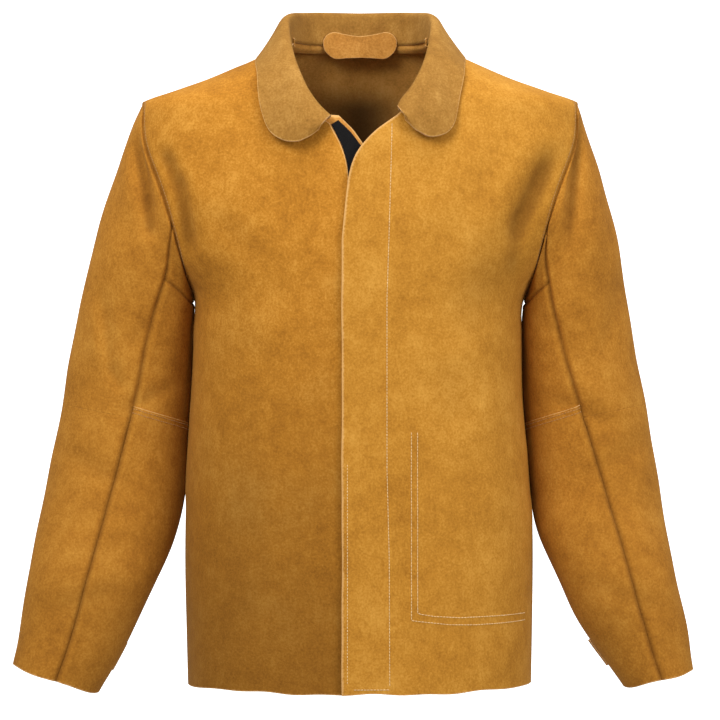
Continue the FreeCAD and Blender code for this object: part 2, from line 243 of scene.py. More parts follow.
def gridNormals(grid, outward):
    # unit normals of a grid of points, turned to the side of the outward directions
    normal = unit(np.cross(np.gradient(grid, axis=1), np.gradient(grid, axis=0)))
    sign = 1 if (normal * outward).sum(-1).mean() > 0 else -1
    return normal * sign, sign


def lengths(grid, axis):
    # distance along the grid's rows (axis 1) or columns (axis 0), from its first point
    step = np.linalg.norm(np.diff(grid, axis=axis), axis=-1)
    start = np.zeros_like(np.take(step, [0], axis))
    return np.concatenate([start, np.cumsum(step, axis)], axis)


def awayFrom(grid):
    # distance of every grid point from each of the four edges, along the grid
    across, up = lengths(grid, 1), lengths(grid, 0)
    return {"left": across, "right": across[:, -1:] - across, "bottom": up, "top": up[-1:] - up}


def towardsSeam(grid, normal):
    # at the armhole every panel turns in straight from front or back, elsewhere along its normal
    ahead = np.zeros(grid.shape)
    ahead[..., 1] = np.where(grid[..., 1] < 0, -1, 1)
    x, z = np.abs(grid[..., 0]), grid[..., 2]
    seamX, _ = armholePoint((z - body["underarm"][1])
                            / (body["shoulderTip"][1] - body["underarm"][1]))
    share = (smoothstep((z - body["underarm"][1]) / 30)
             * smoothstep(1.6 - np.abs(x - seamX) / 12))[..., None]
    return unit(normal * (1 - share) + ahead * share)


def seamDips(grid, normal, dips):
    # beside a seam the leather turns in, as a bell of a given depth and reach from each edge, with
    # a low ridge behind it
    away = awayFrom(grid)
    total = np.zeros(grid.shape[:2])
    for edge, (depth, reach) in dips.items():
        total = total - depth * np.exp(-(away[edge] / reach) ** 2)
        total = total + 0.3 * depth * np.exp(-((away[edge] - 2.4 * reach) / (1.1 * reach)) ** 2)
    return grid + towardsSeam(grid, normal) * total[..., None]


def turnedIn(grid, normal, edges, deep=4.5):
    # at a sewn edge the leather turns in by a seam allowance: two more rows of points
    for edge in edges:
        axis = 1 if edge in ("left", "right") else 0
        first = edge in ("left", "bottom")
        at = [0] if first else [grid.shape[axis] - 1]
        rim, out = np.take(grid, at, axis), np.take(normal, at, axis)
        rows = [rim - out * deep, rim - out * 1.2] if first else [rim - out * 1.2, rim - out * deep]
        flat = [out, out]
        grid = np.concatenate(rows + [grid] if first else [grid] + rows, axis)
        normal = np.concatenate(flat + [normal] if first else [normal] + flat, axis)
    return grid, normal


def withBorder(values, edges):
    # repeats the border values of an array for the rows that turnedIn adds
    for edge in edges:
        axis = 1 if edge in ("left", "right") else 0
        width = [(0, 0), (0, 0)]
        width[axis] = (2, 0) if edge in ("left", "bottom") else (0, 2)
        values = np.pad(values, width, mode="edge")
    return values


def leatherSheet(name, grid, outward, kind, dips=None, raw=None, thickness=leather,
                 pale=True, replaced=(), turned=(), folds=()):
    # a sheet of leather from a grid of its outer face; raw gives how far the paleness of each
    # cut edge reaches; its rim and its back get their own materials
    normal, sign = gridNormals(grid, outward)
    grid = seamDips(grid, normal, dips or {})
    normal, sign = gridNormals(grid, outward)
    away = {edge: withBorder(far, turned) for edge, far in awayFrom(grid).items()}
    grid, normal = turnedIn(grid, towardsSeam(grid, normal) if turned else normal, turned)
    rows, columns = grid.shape[:2]
    piece = meshFrom(name, toFrame(grid).reshape(-1, 3), gridFaces(rows, columns, sign < 0),
                     [finishes[kind], finishes["rawEdge"], finishes["backOf"]])
    worn = np.zeros(grid.shape[:2])
    for edge, reach in (raw or {}).items():
        worn = np.maximum(worn, 1 - away[edge] / reach)
    # painted shade: leather beside a seam is darkened, standing in for the shade in the seam's valley
    crease = np.zeros(grid.shape[:2])
    for edge, (depth, reach) in (dips or {}).items():
        crease = np.maximum(crease, min(depth / 3, 0.75) * np.exp(-(away[edge] / reach / 1.1) ** 2))
    # painted shade along the sunk part of each fold
    if folds:
        sunkBy = -foldSum(folds, grid[..., 0], grid[..., 2])
        crease = np.maximum(crease, 0.9 * smoothstep(sunkBy / 8))
    # painted shade inside the jacket: the back face darkens below the neck and towards the middle,
    # where little light reaches
    deep = np.exp(-(grid[..., 0] / 52) ** 2) * smoothstep((706 - grid[..., 2]) / 42)
    for title, values in (("rawEdge", np.clip(worn, 0, 1)), ("crease", crease), ("deep", deep)):
        attribute = piece.data.attributes.new(title, "FLOAT", "POINT")
        attribute.data.foreach_set("value", values.reshape(-1).astype(np.float32))
    solid = piece.modifiers.new("thickness", "SOLIDIFY")
    solid.thickness = thickness / 1000
    solid.offset = -1
    solid.material_offset = 2
    solid.material_offset_rim = 1 if pale else 0
    across, up = lengths(grid, 1)[:, -1].max() / 1000, lengths(grid, 0)[-1].max() / 1000
    side1, side2 = np.diff(grid, axis=1)[:-1], np.diff(grid, axis=0)[:, :-1]
    area = np.linalg.norm(np.cross(side1, side2), axis=-1).sum() / 1e6
    area = float(np.clip(area, 0.31 * across * up, across * up))
    if replaced:
        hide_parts(*replaced)
    return {"piece": piece, "grid": grid, "normal": normal, "away": away}


def lineAt(panel, edge, distance, low=0.0, high=1.0):
    # the line on a panel that keeps one distance from an edge, between two shares of its length
    grid, normal, away = panel["grid"], panel["normal"], panel["away"][edge]
    if edge in ("bottom", "top"):
        grid, normal, away = (np.swapaxes(a, 0, 1) for a in (grid, normal, away))
    if edge in ("right", "top"):
        grid, normal, away = grid[:, ::-1], normal[:, ::-1], away[:, ::-1]
    index = np.clip((away < distance).sum(1), 1, away.shape[1] - 1)
    rows = np.arange(len(index))
    near, far = away[rows, index - 1], away[rows, index]
    f = np.clip((distance - near) / np.maximum(far - near, 1e-6), 0, 1)[:, None]
    line = grid[rows, index - 1] * (1 - f) + grid[rows, index] * f
    up = unit(normal[rows, index - 1] * (1 - f) + normal[rows, index] * f)
    first, last = int(low * (len(rows) - 1)), int(high * (len(rows) - 1)) + 1
    return line[first:last], up[first:last]


def stitchRow(line, normal, spec):
    # thread dashes along a line: each is a bent six-sided spindle whose middle stands proud
    along = lengths(line[None], 1)[0]
    count = int((along[-1] - spec["inset"] * 2) / spec["pitch"])
    middle = spec["inset"] + spec["pitch"] * (np.arange(count) + 0.5)
    place = np.stack([np.interp(middle, along, line[:, k]) for k in range(3)], -1)
    ahead = np.stack([np.interp(middle + 0.5, along, line[:, k])
                      - np.interp(middle - 0.5, along, line[:, k]) for k in range(3)], -1)
    up = np.stack([np.interp(middle, along, normal[:, k]) for k in range(3)], -1)
    ahead, up = unit(ahead), unit(up)
    aside = unit(np.cross(ahead, up))
    place = place + spec["lift"] * up
    s = np.array([-0.5, -0.36, 0, 0.36, 0.5]) * spec["length"]
    thick = np.array([0.35, 0.85, 1, 0.85, 0.35]) * spec["radius"]
    rise = np.array([-0.7, 0.1, 0.55, 0.1, -0.7]) * spec["radius"]
    turn = np.arange(6) * np.pi / 3
    ring = (place[:, None, None] + s[None, :, None, None] * ahead[:, None, None]
            + (rise[:, None] + thick[:, None] * np.sin(turn))[None, ..., None] * up[:, None, None]
            + (thick[:, None] * np.cos(turn))[None, ..., None] * aside[:, None, None])
    return ring


def stitchPiece(name, rows, kind="thread"):
    # joins all the dashes of several rows in one mesh
    rings = np.concatenate(rows)
    count, sections, sides = rings.shape[:3]
    base = np.arange(sections * sides).reshape(sections, sides)
    nextSide = np.roll(base, -1, axis=1)
    wall = np.stack([base[:-1], nextSide[:-1], nextSide[1:], base[1:]], -1).reshape(-1, 4)
    first, last = base[0][::-1], base[-1]
    caps = [[first[0], first[1], first[2], first[3]], [first[0], first[3], first[4], first[5]],
            [last[0], last[1], last[2], last[3]], [last[0], last[3], last[4], last[5]]]
    one = np.concatenate([wall, np.array(caps)])
    faces = (one[None] + (np.arange(count) * sections * sides)[:, None, None]).reshape(-1, 4)
    return meshFrom(name, toFrame(rings.reshape(-1, 3)), faces, [finishes[kind]])


thread = {"pitch": 3.6, "length": 3.1, "radius": 0.42, "lift": 0.12, "inset": 1.0}


class Shade:
    # one output socket; arithmetic on it adds Math nodes to the same tree
    def __init__(self, tree, socket):
        self.tree, self.socket = tree, socket

    def math(self, operation, first, second):
        return self.tree.make("ShaderNodeMath", {"operation": operation}, [first, second])

    def __add__(self, other): return self.math("ADD", self, other)
    def __radd__(self, other): return self.math("ADD", other, self)
    def __sub__(self, other): return self.math("SUBTRACT", self, other)
    def __rsub__(self, other): return self.math("SUBTRACT", other, self)
    def __mul__(self, other): return self.math("MULTIPLY", self, other)
    def __rmul__(self, other): return self.math("MULTIPLY", other, self)


class Tree:
    def __init__(self, name):
        self.material = bpy.data.materials.new(name)
        self.material.use_nodes = True
        self.nodes, self.links = self.material.node_tree.nodes, self.material.node_tree.links
        self.shader = self.nodes["Principled BSDF"]

    def make(self, kind, settings, inputs, output=0):
        node = self.nodes.new(kind)
        for key, value in settings.items():
            if key == "stops":
                ramp = node.color_ramp
                while len(ramp.elements) < len(value):
                    ramp.elements.new(0.5)
                for element, (place, colour) in zip(ramp.elements, value):
                    element.position, element.color = place, colour
            else:
                setattr(node, key, value)
        pairs = inputs.items() if isinstance(inputs, dict) else enumerate(inputs)
        for key, value in pairs:
            self.feed(node.inputs[key], value)
        return Shade(self, node.outputs[output])

    def feed(self, socket, value):
        if isinstance(value, Shade):
            self.links.new(value.socket, socket)
        else:
            socket.default_value = value

    def noise(self, scale, detail=2.0, roughness=0.55, stretch=(1, 1, 1)):
        place = self.make("ShaderNodeTexCoord", {}, {}, "Object")
        place = self.make("ShaderNodeMapping", {}, {"Vector": place, "Scale": stretch})
        return self.make("ShaderNodeTexNoise", {}, {"Vector": place, "Scale": scale,
                         "Detail": detail, "Roughness": roughness}, "Fac")

    def attribute(self, name):
        return self.make("ShaderNodeAttribute", {"attribute_name": name}, {}, "Fac")

    def ease(self, value, low, high):
        return self.make("ShaderNodeMapRange", {"interpolation_type": "SMOOTHSTEP"},
                         {"Value": value, "From Min": low, "From Max": high}, "Result")

    def blend(self, factor, first, second):
        node = self.nodes.new("ShaderNodeMix")
        node.data_type = "RGBA"
        self.feed(node.inputs[0], factor)
        self.feed(node.inputs[6], first)
        self.feed(node.inputs[7], second)
        return Shade(self, node.outputs[2])

    def finish(self, **sockets):
        for key, value in sockets.items():
            self.feed(self.shader.inputs[key.replace("_", " ")], value)
        return self.material


def linear(red, green, blue):
    # an sRGB colour, 0 to 255, as linear light
    c = np.array([red, green, blue]) / 255
    c = np.where(c <= 0.04045, c / 12.92, ((c + 0.055) / 1.055) ** 2.4)
    return (float(c[0]), float(c[1]), float(c[2]), 1.0)


suedeLooks = {
    "jacketSuede": {"dark": (142, 88, 20), "middle": (184, 126, 42), "pale": (214, 158, 70),
                    "cloud": 0.5, "lower": 0.0},
    "rightFrontSuede": {"dark": (132, 80, 16), "middle": (180, 119, 36), "pale": (216, 156, 66),
                        "cloud": 0.5, "lower": 0.55},
    "sleeveSuede": {"dark": (128, 76, 16), "middle": (176, 116, 37), "pale": (208, 149, 61),
                    "cloud": 0.5, "lower": 0.2},
    "collarSuede": {"dark": (118, 78, 28), "middle": (153, 108, 46), "pale": (188, 142, 74),
                    "cloud": 0.6, "lower": 0.0},
    "facingSuede": {"dark": (136, 86, 30), "middle": (182, 124, 54), "pale": (210, 154, 80),
                    "cloud": 0.5, "lower": 0.0},
    "backOf": {"dark": (148, 100, 42), "middle": (198, 140, 64), "pale": (224, 168, 90),
               "cloud": 0.5, "lower": 0.0},
}


def suede(name, look):
    # cloudy patches, blotches and speckle choose a tone between dark, middle and pale leather;
    # the nap is a fine bump, and a worn strip beside a raw edge is paler; the tone grows darker
    # towards the bottom as much as lower says; painted shade darkens seam valleys, sunk folds
    # and the inside of the jacket low in the middle
    t = Tree(name)
    cloud = t.noise(13, 3, 0.6)
    blotch = t.noise(55, 3, 0.6)
    speckle = t.noise(420, 2, 0.6)
    nap = t.noise(1500, 2, 0.7)
    brushed = t.noise(190, 2, 0.6, (1, 1, 0.45))
    tone = (0.5 + (cloud - 0.5) * look["cloud"] + (blotch - 0.5) * 0.42
            + (speckle - 0.5) * 0.62 + (brushed - 0.5) * 0.2)
    colour = t.make("ShaderNodeValToRGB", {"stops": [(0.12, linear(*look["dark"])),
                    (0.5, linear(*look["middle"])), (0.88, linear(*look["pale"]))]}, [tone],
                    "Color")
    if look["lower"]:
        height = t.make("ShaderNodeSeparateXYZ", {}, [t.make("ShaderNodeTexCoord", {}, {},
                                                             "Object")], "Z")
        low = t.ease(height * -1 + (cloud - 0.5) * 0.25, 0.2, 0.78)
        colour = t.blend(low * look["lower"], colour, linear(84, 50, 10))
    worn = t.ease(t.attribute("rawEdge") + (speckle - 0.5) * 0.7 + (blotch - 0.5) * 0.4, 0.3, 0.8)
    colour = t.blend(worn * 0.75, colour, linear(214, 166, 104))
    # painted shade in seam valleys and sunk folds, mixed towards dark brown
    colour = t.blend(t.attribute("crease") * 0.6, colour, linear(84, 46, 10))
    # painted shade on the inside of the jacket, deepest low in the middle, mixed towards near-black
    # brown
    if name == "backOf":
        colour = t.blend(t.attribute("deep") * 0.9, colour, linear(40, 20, 4))
    grain = nap * 0.5 + speckle * 0.9 + brushed * 0.5
    bump = t.make("ShaderNodeBump", {}, {"Strength": 0.5, "Distance": 0.0006, "Height": grain},
                  "Normal")
    return t.finish(Base_Color=colour, Roughness=0.82 + blotch * 0.16, Normal=bump,
                    Sheen_Weight=0.12, Sheen_Roughness=0.5,
                    Sheen_Tint=linear(255, 200, 120), Specular_IOR_Level=0.12)


def rawEdge():
    t = Tree("rawEdge")
    fibre = t.noise(900, 3, 0.7)
    patch = t.noise(120, 2, 0.6)
    colour = t.make("ShaderNodeValToRGB", {"stops": [(0.25, linear(176, 122, 66)),
                    (0.6, linear(226, 182, 126)), (0.85, linear(242, 210, 164))]},
                    [fibre * 0.5 + patch * 0.5], "Color")
    bump = t.make("ShaderNodeBump", {}, {"Strength": 0.6, "Distance": 0.0004, "Height": fibre},
                  "Normal")
    return t.finish(Base_Color=colour, Roughness=0.95, Normal=bump, Specular_IOR_Level=0.15)


def hookAndLoop():
    t = Tree("tape")
    hooks = t.noise(2600, 2, 0.6)
    weave = t.noise(600, 2, 0.6)
    colour = t.make("ShaderNodeValToRGB", {"stops": [(0.35, linear(5, 5, 6)),
                    (0.75, linear(24, 22, 22))]}, [hooks * 0.6 + weave * 0.4], "Color")
    bump = t.make("ShaderNodeBump", {}, {"Strength": 0.9, "Distance": 0.0009, "Height": hooks},
                  "Normal")
    return t.finish(Base_Color=colour, Roughness=0.9, Normal=bump, Specular_IOR_Level=0.2)


def sewingThread(name, dark, pale):
    t = Tree(name)
    twist = t.noise(2400, 2, 0.6)
    shade = t.noise(160, 2, 0.6)
    colour = t.make("ShaderNodeValToRGB", {"stops": [(0.3, linear(*dark)), (0.7, linear(*pale))]},
                    [twist * 0.4 + shade * 0.6], "Color")
    bump = t.make("ShaderNodeBump", {}, {"Strength": 0.5, "Distance": 0.0002, "Height": twist},
                  "Normal")
    return t.finish(Base_Color=colour, Roughness=0.6, Normal=bump, Sheen_Weight=0.2)


def studMetal():
    t = Tree("metal")
    wear = t.noise(300, 3, 0.6)
    scratch = t.noise(900, 2, 0.6, (1, 0.2, 1))
    colour = t.make("ShaderNodeValToRGB", {"stops": [(0.3, linear(96, 82, 56)),
                    (0.75, linear(176, 152, 104))]}, [wear], "Color")
    bump = t.make("ShaderNodeBump", {}, {"Strength": 0.3, "Distance": 0.0002, "Height": scratch},
                  "Normal")
    return t.finish(Base_Color=colour, Metallic=1.0, Roughness=0.32 + wear * 0.25, Normal=bump)


finishes = {name: suede(name, look) for name, look in suedeLooks.items()}
finishes["rawEdge"] = rawEdge()
finishes["tape"] = hookAndLoop()
finishes["thread"] = sewingThread("thread", (206, 170, 112), (240, 214, 164))
finishes["tanThread"] = sewingThread("tanThread", (150, 102, 44), (190, 138, 70))
finishes["metal"] = studMetal()
print("materials made")


def smoothLine(points, dense=40):
    # a smooth line through (x, z) points
    points = np.asarray(points, float)
    along = np.concatenate([[0], np.cumsum(np.hypot(*np.diff(points, axis=0).T))])
    s = np.linspace(0, along[-1], dense)
    return np.stack([curveThrough(np.stack([along, points[:, k]], 1), s) for k in (0, 1)], 1)


def shareOf(line):
    along = np.concatenate([[0], np.cumsum(np.hypot(*np.diff(line, axis=0).T))])
    return along / np.maximum(along[-1], 1e-9)


def sharpShares(line):
    # shares of a line at which it turns by more than 17 degrees, so that rows can meet them
    step = unit(np.diff(line, axis=0))
    turn = np.arccos(np.clip((step[1:] * step[:-1]).sum(-1), -1, 1))
    return shareOf(line)[1:-1][turn > 0.3]


def steps(stops, length, size, close=()):
    # shares from 0 to 1, about size mm apart over length mm, with every stop among them and extra
    # ones at the given small distances from both ends
    stops = np.unique(np.concatenate([[0.0, 1.0], np.asarray(list(stops), float)]))
    runs = [np.linspace(a, b, max(2, int(round((b - a) * length / size))), endpoint=False)
            for a, b in zip(stops[:-1], stops[1:])]
    close = np.asarray(close, float) / length
    shares = np.unique(np.concatenate(runs + [[1.0], close, 1 - close]))
    keep = np.concatenate([[True], np.diff(shares) > 0.12 / length])
    keep[-1] = True
    return shares[keep]


closeToEdge = (0.7, 1.5, 2.4, 3.5, 5.0, 7.0)


def torsoGrid(side, left, right, width, size=None, sink=None):
    # rows join equal shares of two border lines, straight in the oval's angle and in height
    left, right = np.asarray(left, float), np.asarray(right, float)
    size = size or body["step"]
    length = np.hypot(*np.diff(left, axis=0).T).sum()
    v = steps(np.concatenate([sharpShares(left), sharpShares(right)]), length, size, closeToEdge)
    u = steps([], width, size, closeToEdge)
    lx, lz = (np.interp(v, shareOf(left), left[:, k]) for k in (0, 1))
    rx, rz = (np.interp(v, shareOf(right), right[:, k]) for k in (0, 1))
    aL, aR = torsoAngle(lx, lz), torsoAngle(rx, rz)
    angle = aL[:, None] + (aR - aL)[:, None] * u
    z = lz[:, None] + (rz - lz)[:, None] * u
    lift = 0 if sink is None else sink(torsoPoint(side, angle, z)[..., 0])
    return torsoSkin(side, angle, z, lift)


def waveHem(grid):
    # the hand-cut hem wanders by a millimetre or two
    x = grid[..., 0]
    wave = 0.9 * np.sin(x / 23 + 1) + 0.7 * np.sin(x / 9.5) - 1.2 * np.cos(x / 62)
    grid[..., 2] += wave * smoothstep(1 - grid[..., 2] / 60)
    return grid


def sideLine(sign):
    # the side seam up to under the arm, and the armhole seam above it
    zSide = np.linspace(0, body["underarm"][1] - 4, 50)
    seam = np.stack([sideWidth(sign, zSide) * sign, zSide], 1)
    x, z = armholePoint(np.linspace(0, 1, 50))
    return seam, np.stack([x * sign, z], 1)


frontOut = np.array([0, -1.0, 0.15])
backOut = np.array([0, 1.0, 0.15])

neckEdge = {
    1: [(41, 646), (55, 659), (71, 680), (82, 702), (86.5, 722), (79, 738)],
    -1: [(-34, 638), (-48, 648), (-66, 669), (-80, 697), (-86, 722), (-79, 738)],
}
overlapTop = [(-20, 505), (-18, 530), (-15, 560), (-11, 583), (-5, 600), (4, 614), (18, 629),
              (31, 639), (41, 646)]
rightFrontTop = [(-13.5, 540), (-13, 575), (-15, 592), (-21, 612), (-34, 638)]


def sunk(x):
    # the right front lies under the left one near the middle, and level with the back at its side
    return -body["rightSunk"] * smoothstep((x + 150) / 80)


rightEdge = np.concatenate([[(body["rightFrontEdge"], 0)], smoothLine(rightFrontTop),
                            smoothLine(neckEdge[-1])[1:]])
frontRight = leatherSheet(
    "frontRight",
    waveHem(torsoGrid(-1, np.concatenate(sideLine(-1)), rightEdge, 185, sink=sunk)), frontOut,
    "rightFrontSuede", {"left": seamDip, "top": (1.0, 3)},
    {"right": 2.5, "bottom": 2.2}, replaced=["front_right"], turned=["left"], folds=frontFolds)
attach(frontRight["piece"], "torso")

leftGrid = waveHem(torsoGrid(
    -1, np.concatenate([[(body["flapEdge"], 0)], smoothLine(overlapTop),
                        smoothLine(neckEdge[1])[1:]]),
    np.concatenate(sideLine(1)), 215))
# the free edge of the overlap curls a little off the tape
free = lengths(leftGrid, 1)
curl = 1.1 * np.exp(-(free / 5) ** 2) * smoothstep((640 - leftGrid[..., 2]) / 30)
curl = curl * (1 + 0.6 * np.sin(leftGrid[..., 2] / 31) + 0.4 * np.sin(leftGrid[..., 2] / 13))
leftGrid = leftGrid + np.array([-0.35, -1, 0]) * curl[..., None]
frontLeft = leatherSheet(
    "frontLeft", leftGrid, frontOut, "jacketSuede",
    {"right": seamDip, "top": (1.0, 3)}, {"left": 4.6, "bottom": 2.2},
    replaced=["front_left", "front_overlap"], turned=["right"], folds=frontFolds)
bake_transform(frontLeft["piece"])

backEdges = []
for sign in (-1, 1):
    seamLine, armLine = sideLine(sign)
    yokeShare = armLine[:, 1] < body["yokeSeam"]
    yokeCorner = armholeAt(body["yokeSeam"]) * np.array([sign, 1])
    backEdges.append(np.concatenate([seamLine, armLine[yokeShare], [yokeCorner]]))
shoulder = np.stack([curveThrough(body["width"], np.linspace(667, 738, 30)),
                     np.linspace(667, 738, 30)], 1)
yokeEdge = np.concatenate([[armholeAt(body["yokeSeam"])], armLine[~yokeShare], shoulder[1:]])
mirrored = np.array([-1, 1])
backPanel = leatherSheet(
    "backPanel", waveHem(torsoGrid(1, *backEdges, 500, 5.0)), backOut,
    "jacketSuede", {"left": seamDip, "right": seamDip, "top": (1.6, 3)},
    {"bottom": 2.2}, replaced=["back_panel"], turned=["left", "right"])
backYoke = leatherSheet(
    "backYoke", torsoGrid(1, yokeEdge * mirrored, yokeEdge, 500, 5.0), backOut,
    "jacketSuede", {"left": seamDip, "right": seamDip, "bottom": (0.6, 2)},
    {}, replaced=["back_yoke"], turned=["left", "right"])
for panel in (backPanel, backYoke):
    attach(panel["piece"], "torso")
print("body panels made")


def layer(name, left, right, depth, kind, replaced, thickness=facingLeather, raw=None):
    left, right = np.asarray(left, float), np.asarray(right, float)
    width = max(right[:, 0].max() - left[:, 0].min(), 10)
    size = 3.0
    v = steps(np.concatenate([sharpShares(left), sharpShares(right)]), 620, size * 2)
    u = steps([], width, size, (0.7, 1.6))
    lx, lz = (np.interp(v, shareOf(left), left[:, k]) for k in (0, 1))
    rx, rz = (np.interp(v, shareOf(right), right[:, k]) for k in (0, 1))
    x = lx[:, None] + (rx - lx)[:, None] * u
    z = lz[:, None] + (rz - lz)[:, None] * u
    grid = torsoSkin(-1, torsoAngle(x, z), z, -depth)
    return leatherSheet(name, grid, frontOut, kind, {}, raw, thickness, replaced=replaced)


def evenly(points, count=160):
    points = np.asarray(points, float)
    s = np.linspace(0, 1, count)
    return np.stack([np.interp(s, shareOf(points), points[:, k]) for k in (0, 1)], 1)


overlapFacing = layer(
    "overlapFacing", evenly([(-18.6, 3), (-18.6, 505), (-14, 560), (-4, 600)]),
    evenly([(31, 3), (31, 632)]), 1.7, "facingSuede", ["overlap_facing"],
    raw={"left": 2})
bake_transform(overlapFacing["piece"])
hookTape = layer("hookTape", evenly([(-8, 14), (-8, 590)]), evenly([(20, 14), (20, 590)]), 3.2,
                 "tape", ["hook_tape"], 0.8)
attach(hookTape["piece"], "front_flap")
loopTape = layer(
    "loopTape", evenly([(-12.4, 14), (-12.4, 560), (-14.2, 592), (-20, 612), (-32.4, 637)]),
    evenly([(22, 14), (22, 566), (8, 603), (-10, 628), (-24.5, 642)]), 4.75, "tape",
    ["loop_tape"], 0.9)
underlap = layer(
    "underlapLeather", evenly([(-34, 4), (-34, 600), (-46, 650)]),
    evenly([(26, 4), (26, 575), (10, 606), (-8, 632), (-24, 648)]), 6.4, "facingSuede",
    ["underlap"], raw={"right": 2.5, "top": 2.0})
for panel in (loopTape, underlap):
    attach(panel["piece"], "torso")

pocketV = np.linspace(81, 292, 40)[:, None]
start = torsoPoint(-1, torsoAngle(58, pocketV), pocketV)
end = torsoPoint(-1, torsoAngle(172, pocketV), pocketV)
across = np.linspace(0, 1, 26)[None, :, None]
pocketGrid = start + (end - start) * across + np.array([0, leather + 2.5, 0])
innerPocket = leatherSheet("innerPocket", pocketGrid, frontOut, "facingSuede",
                           thickness=1.1, replaced=["inner_pocket"])
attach(innerPocket["piece"], "torso")
print("front opening made")


collar = {
    "neck": [(0, 78, 737), (56, 57, 736), (79, 0, 734), (83, -50, 717), (77, -80, 695),
             (66, -97, 672), (51, -107, 653), (34, -114, 640)],
    "fold": [(0, 84, 782), (58, 62, 780.5), (82, 2, 770), (78, -52, 733), (68, -89, 701),
             (58, -105, 677), (46, -113, 658), (32, -119, 642)],
    "leaf": [(0, 112, 718), (87, 88, 712), (113, -2, 716.5), (115, -83, 690), (102, -114, 634),
             (85, -123, 617), (64, -127, 616), (42, -125, 631)],
    "leftFrontRaise": 5.0,   # the wearer's left end sits a little higher, and is shorter
    "leftEnd": {"neck": [(45, -110, 645)], "fold": [(44, -115, 650)],
                "leaf": [(64, -127, 621), (46, -125, 637)]},
    "bulge": 11.0,           # in front
    "hollow": 5.0,           # over the shoulders
    "foldRadius": 2.4,
    "stand": [0.04, 0.35, 0.7, 0.9],
    "fall": [1.12, 1.3, 1.5, 1.75, 2.0],
}


def throughPoints(points, t):
    points = np.asarray(points, float)
    at = np.linspace(0, 1, len(points))
    return np.stack([curveThrough(np.stack([at, points[:, k]], 1), t) for k in range(3)], -1)


def collarLine(name, t):
    side = np.where(t < 0, -1, 1)
    end = collar["leftEnd"][name]
    point = np.where(t[:, None] > 0, throughPoints(collar[name][:-len(end)] + end, np.abs(t)),
                     throughPoints(collar[name], np.abs(t)))
    raised = collar["leftFrontRaise"] * smoothstep((t - 0.45) / 0.4)
    return point * np.stack([side, 1 + 0 * t, 1 + 0 * t], -1) + raised[:, None] * np.array([0, 0, 1])


def collarPoint(t, v):
    # up the stand for v from 0 to 1, over the fold and down the fall to 2; the fall bows out
    low, fold, leaf = (collarLine(name, t) for name in ("neck", "fold", "leaf"))
    middle = (fold + leaf) / 2
    bulge = 1.0 + (collar["bulge"] - 1.0) * smoothstep((np.abs(t) - 0.35) / 0.3)
    bulge = bulge - collar["hollow"] * np.exp(-((np.abs(t) - 0.33) / 0.12) ** 2)
    middle = middle + bulge[:, None] * unit(middle - np.array([0, 0, 640]))
    f = v - 1
    bowed = fold * (1 - f) ** 2 + middle * (2 * f * (1 - f)) + leaf * f ** 2
    return low + (fold - low) * v if v <= 1 else bowed


def cubicWeights(count, samples):
    # weights of a clamped cubic B-spline with the given number of poles
    degree = 3
    knots = np.concatenate([[0] * degree, np.arange(count - degree + 1), [count - degree] * degree])
    s = np.clip(np.asarray(samples) * (count - degree), 0, count - degree - 1e-9)[:, None]
    weight = ((s >= knots[:-1]) & (s < knots[1:])).astype(float)
    for k in range(1, degree + 1):
        first, second = knots[k:-1] - knots[:-k - 1], knots[k + 1:] - knots[1:-k]
        rise = np.divide(s - knots[:-k - 1], first, out=np.zeros((len(s), len(first))),
                         where=first > 0)
        fall = np.divide(knots[k + 1:] - s, second, out=np.zeros((len(s), len(second))),
                         where=second > 0)
        weight = rise * weight[:, :-1] + fall * weight[:, 1:]
    return weight


def collarGrid(depth):
    t = np.linspace(-0.985, 0.985, 230)
    ahead = unit(collarPoint(t + 0.004, 0.5) - collarPoint(t - 0.004, 0.5))
    size = np.minimum(1, np.linalg.norm(collarPoint(t, 1) - collarPoint(t, 0), axis=-1) / 12)
    shares = collar["stand"] + collar["fall"]
    profile = np.stack([collarPoint(t, v) for v in shares])
    before = np.concatenate([profile[:1], profile[:-1]])
    after = np.concatenate([profile[1:], profile[-1:]])
    normal = unit(np.cross(after - before, np.broadcast_to(ahead, profile.shape)))
    spread = np.where(np.arange(len(shares)) >= len(collar["stand"]), 1.0, -0.2)
    gap = depth + collar["foldRadius"] * spread[:, None] * size
    poles = profile - normal * gap[..., None]
    s = np.linspace(0, 1, 60)
    s = np.unique(np.concatenate([s, 1 - np.array([0.004, 0.009, 0.02, 0.028])]))
    grid = np.einsum("vk,ktc->vtc", cubicWeights(len(shares), s), poles)
    # the fall's edge ripples gently and its surface is slightly uneven
    wave = (1.1 * np.sin(t * 21 + 0.5) + 0.7 * np.sin(t * 47)) * smoothstep((s[:, None] - 0.6) / 0.4)
    wave = wave * smoothstep((0.97 - np.abs(t)) / 0.1)
    outwards = unit(grid * np.array([1, 1, 0]) + np.array([0, 0, 60]))
    return grid + outwards * wave[..., None]


for name, depth, replaced in (("collarUnder", 1.2, "collar_under"), ("collarTop", 3.3, "collar_top")):
    grid = collarGrid(depth)
    halfway = len(grid) * 3 // 4
    outward = np.zeros(grid.shape)
    outward[halfway:] = unit(grid[halfway:] - np.array([0, 0, 600]))
    layerMade = leatherSheet(name, grid, outward, "collarSuede", {},
                             {"top": 1.8, "left": 1.2, "right": 1.2}, facingLeather,
                             replaced=[replaced])
    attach(layerMade["piece"], "torso")

facingX = np.linspace(-1.62, 1.62, 120)[None, :]
facingZ = np.linspace(733, 747, 10)[:, None]
facingGrid = torsoPoint(1, facingX + 0 * facingZ, np.minimum(facingZ, 737.9) + 0 * facingX)
facingGrid[..., 2] = facingZ + 0 * facingX
facingIn = torsoNormal(1, facingX + 0 * facingZ, 0 * facingX + 725.0)
facingGrid = facingGrid - facingIn * 5.8
neckFacing = leatherSheet("neckFacing", facingGrid, backOut, "facingSuede",
                          raw={"top": 2.5}, thickness=facingLeather, pale=False,
                          replaced=["neck_facing"])
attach(neckFacing["piece"], "torso")

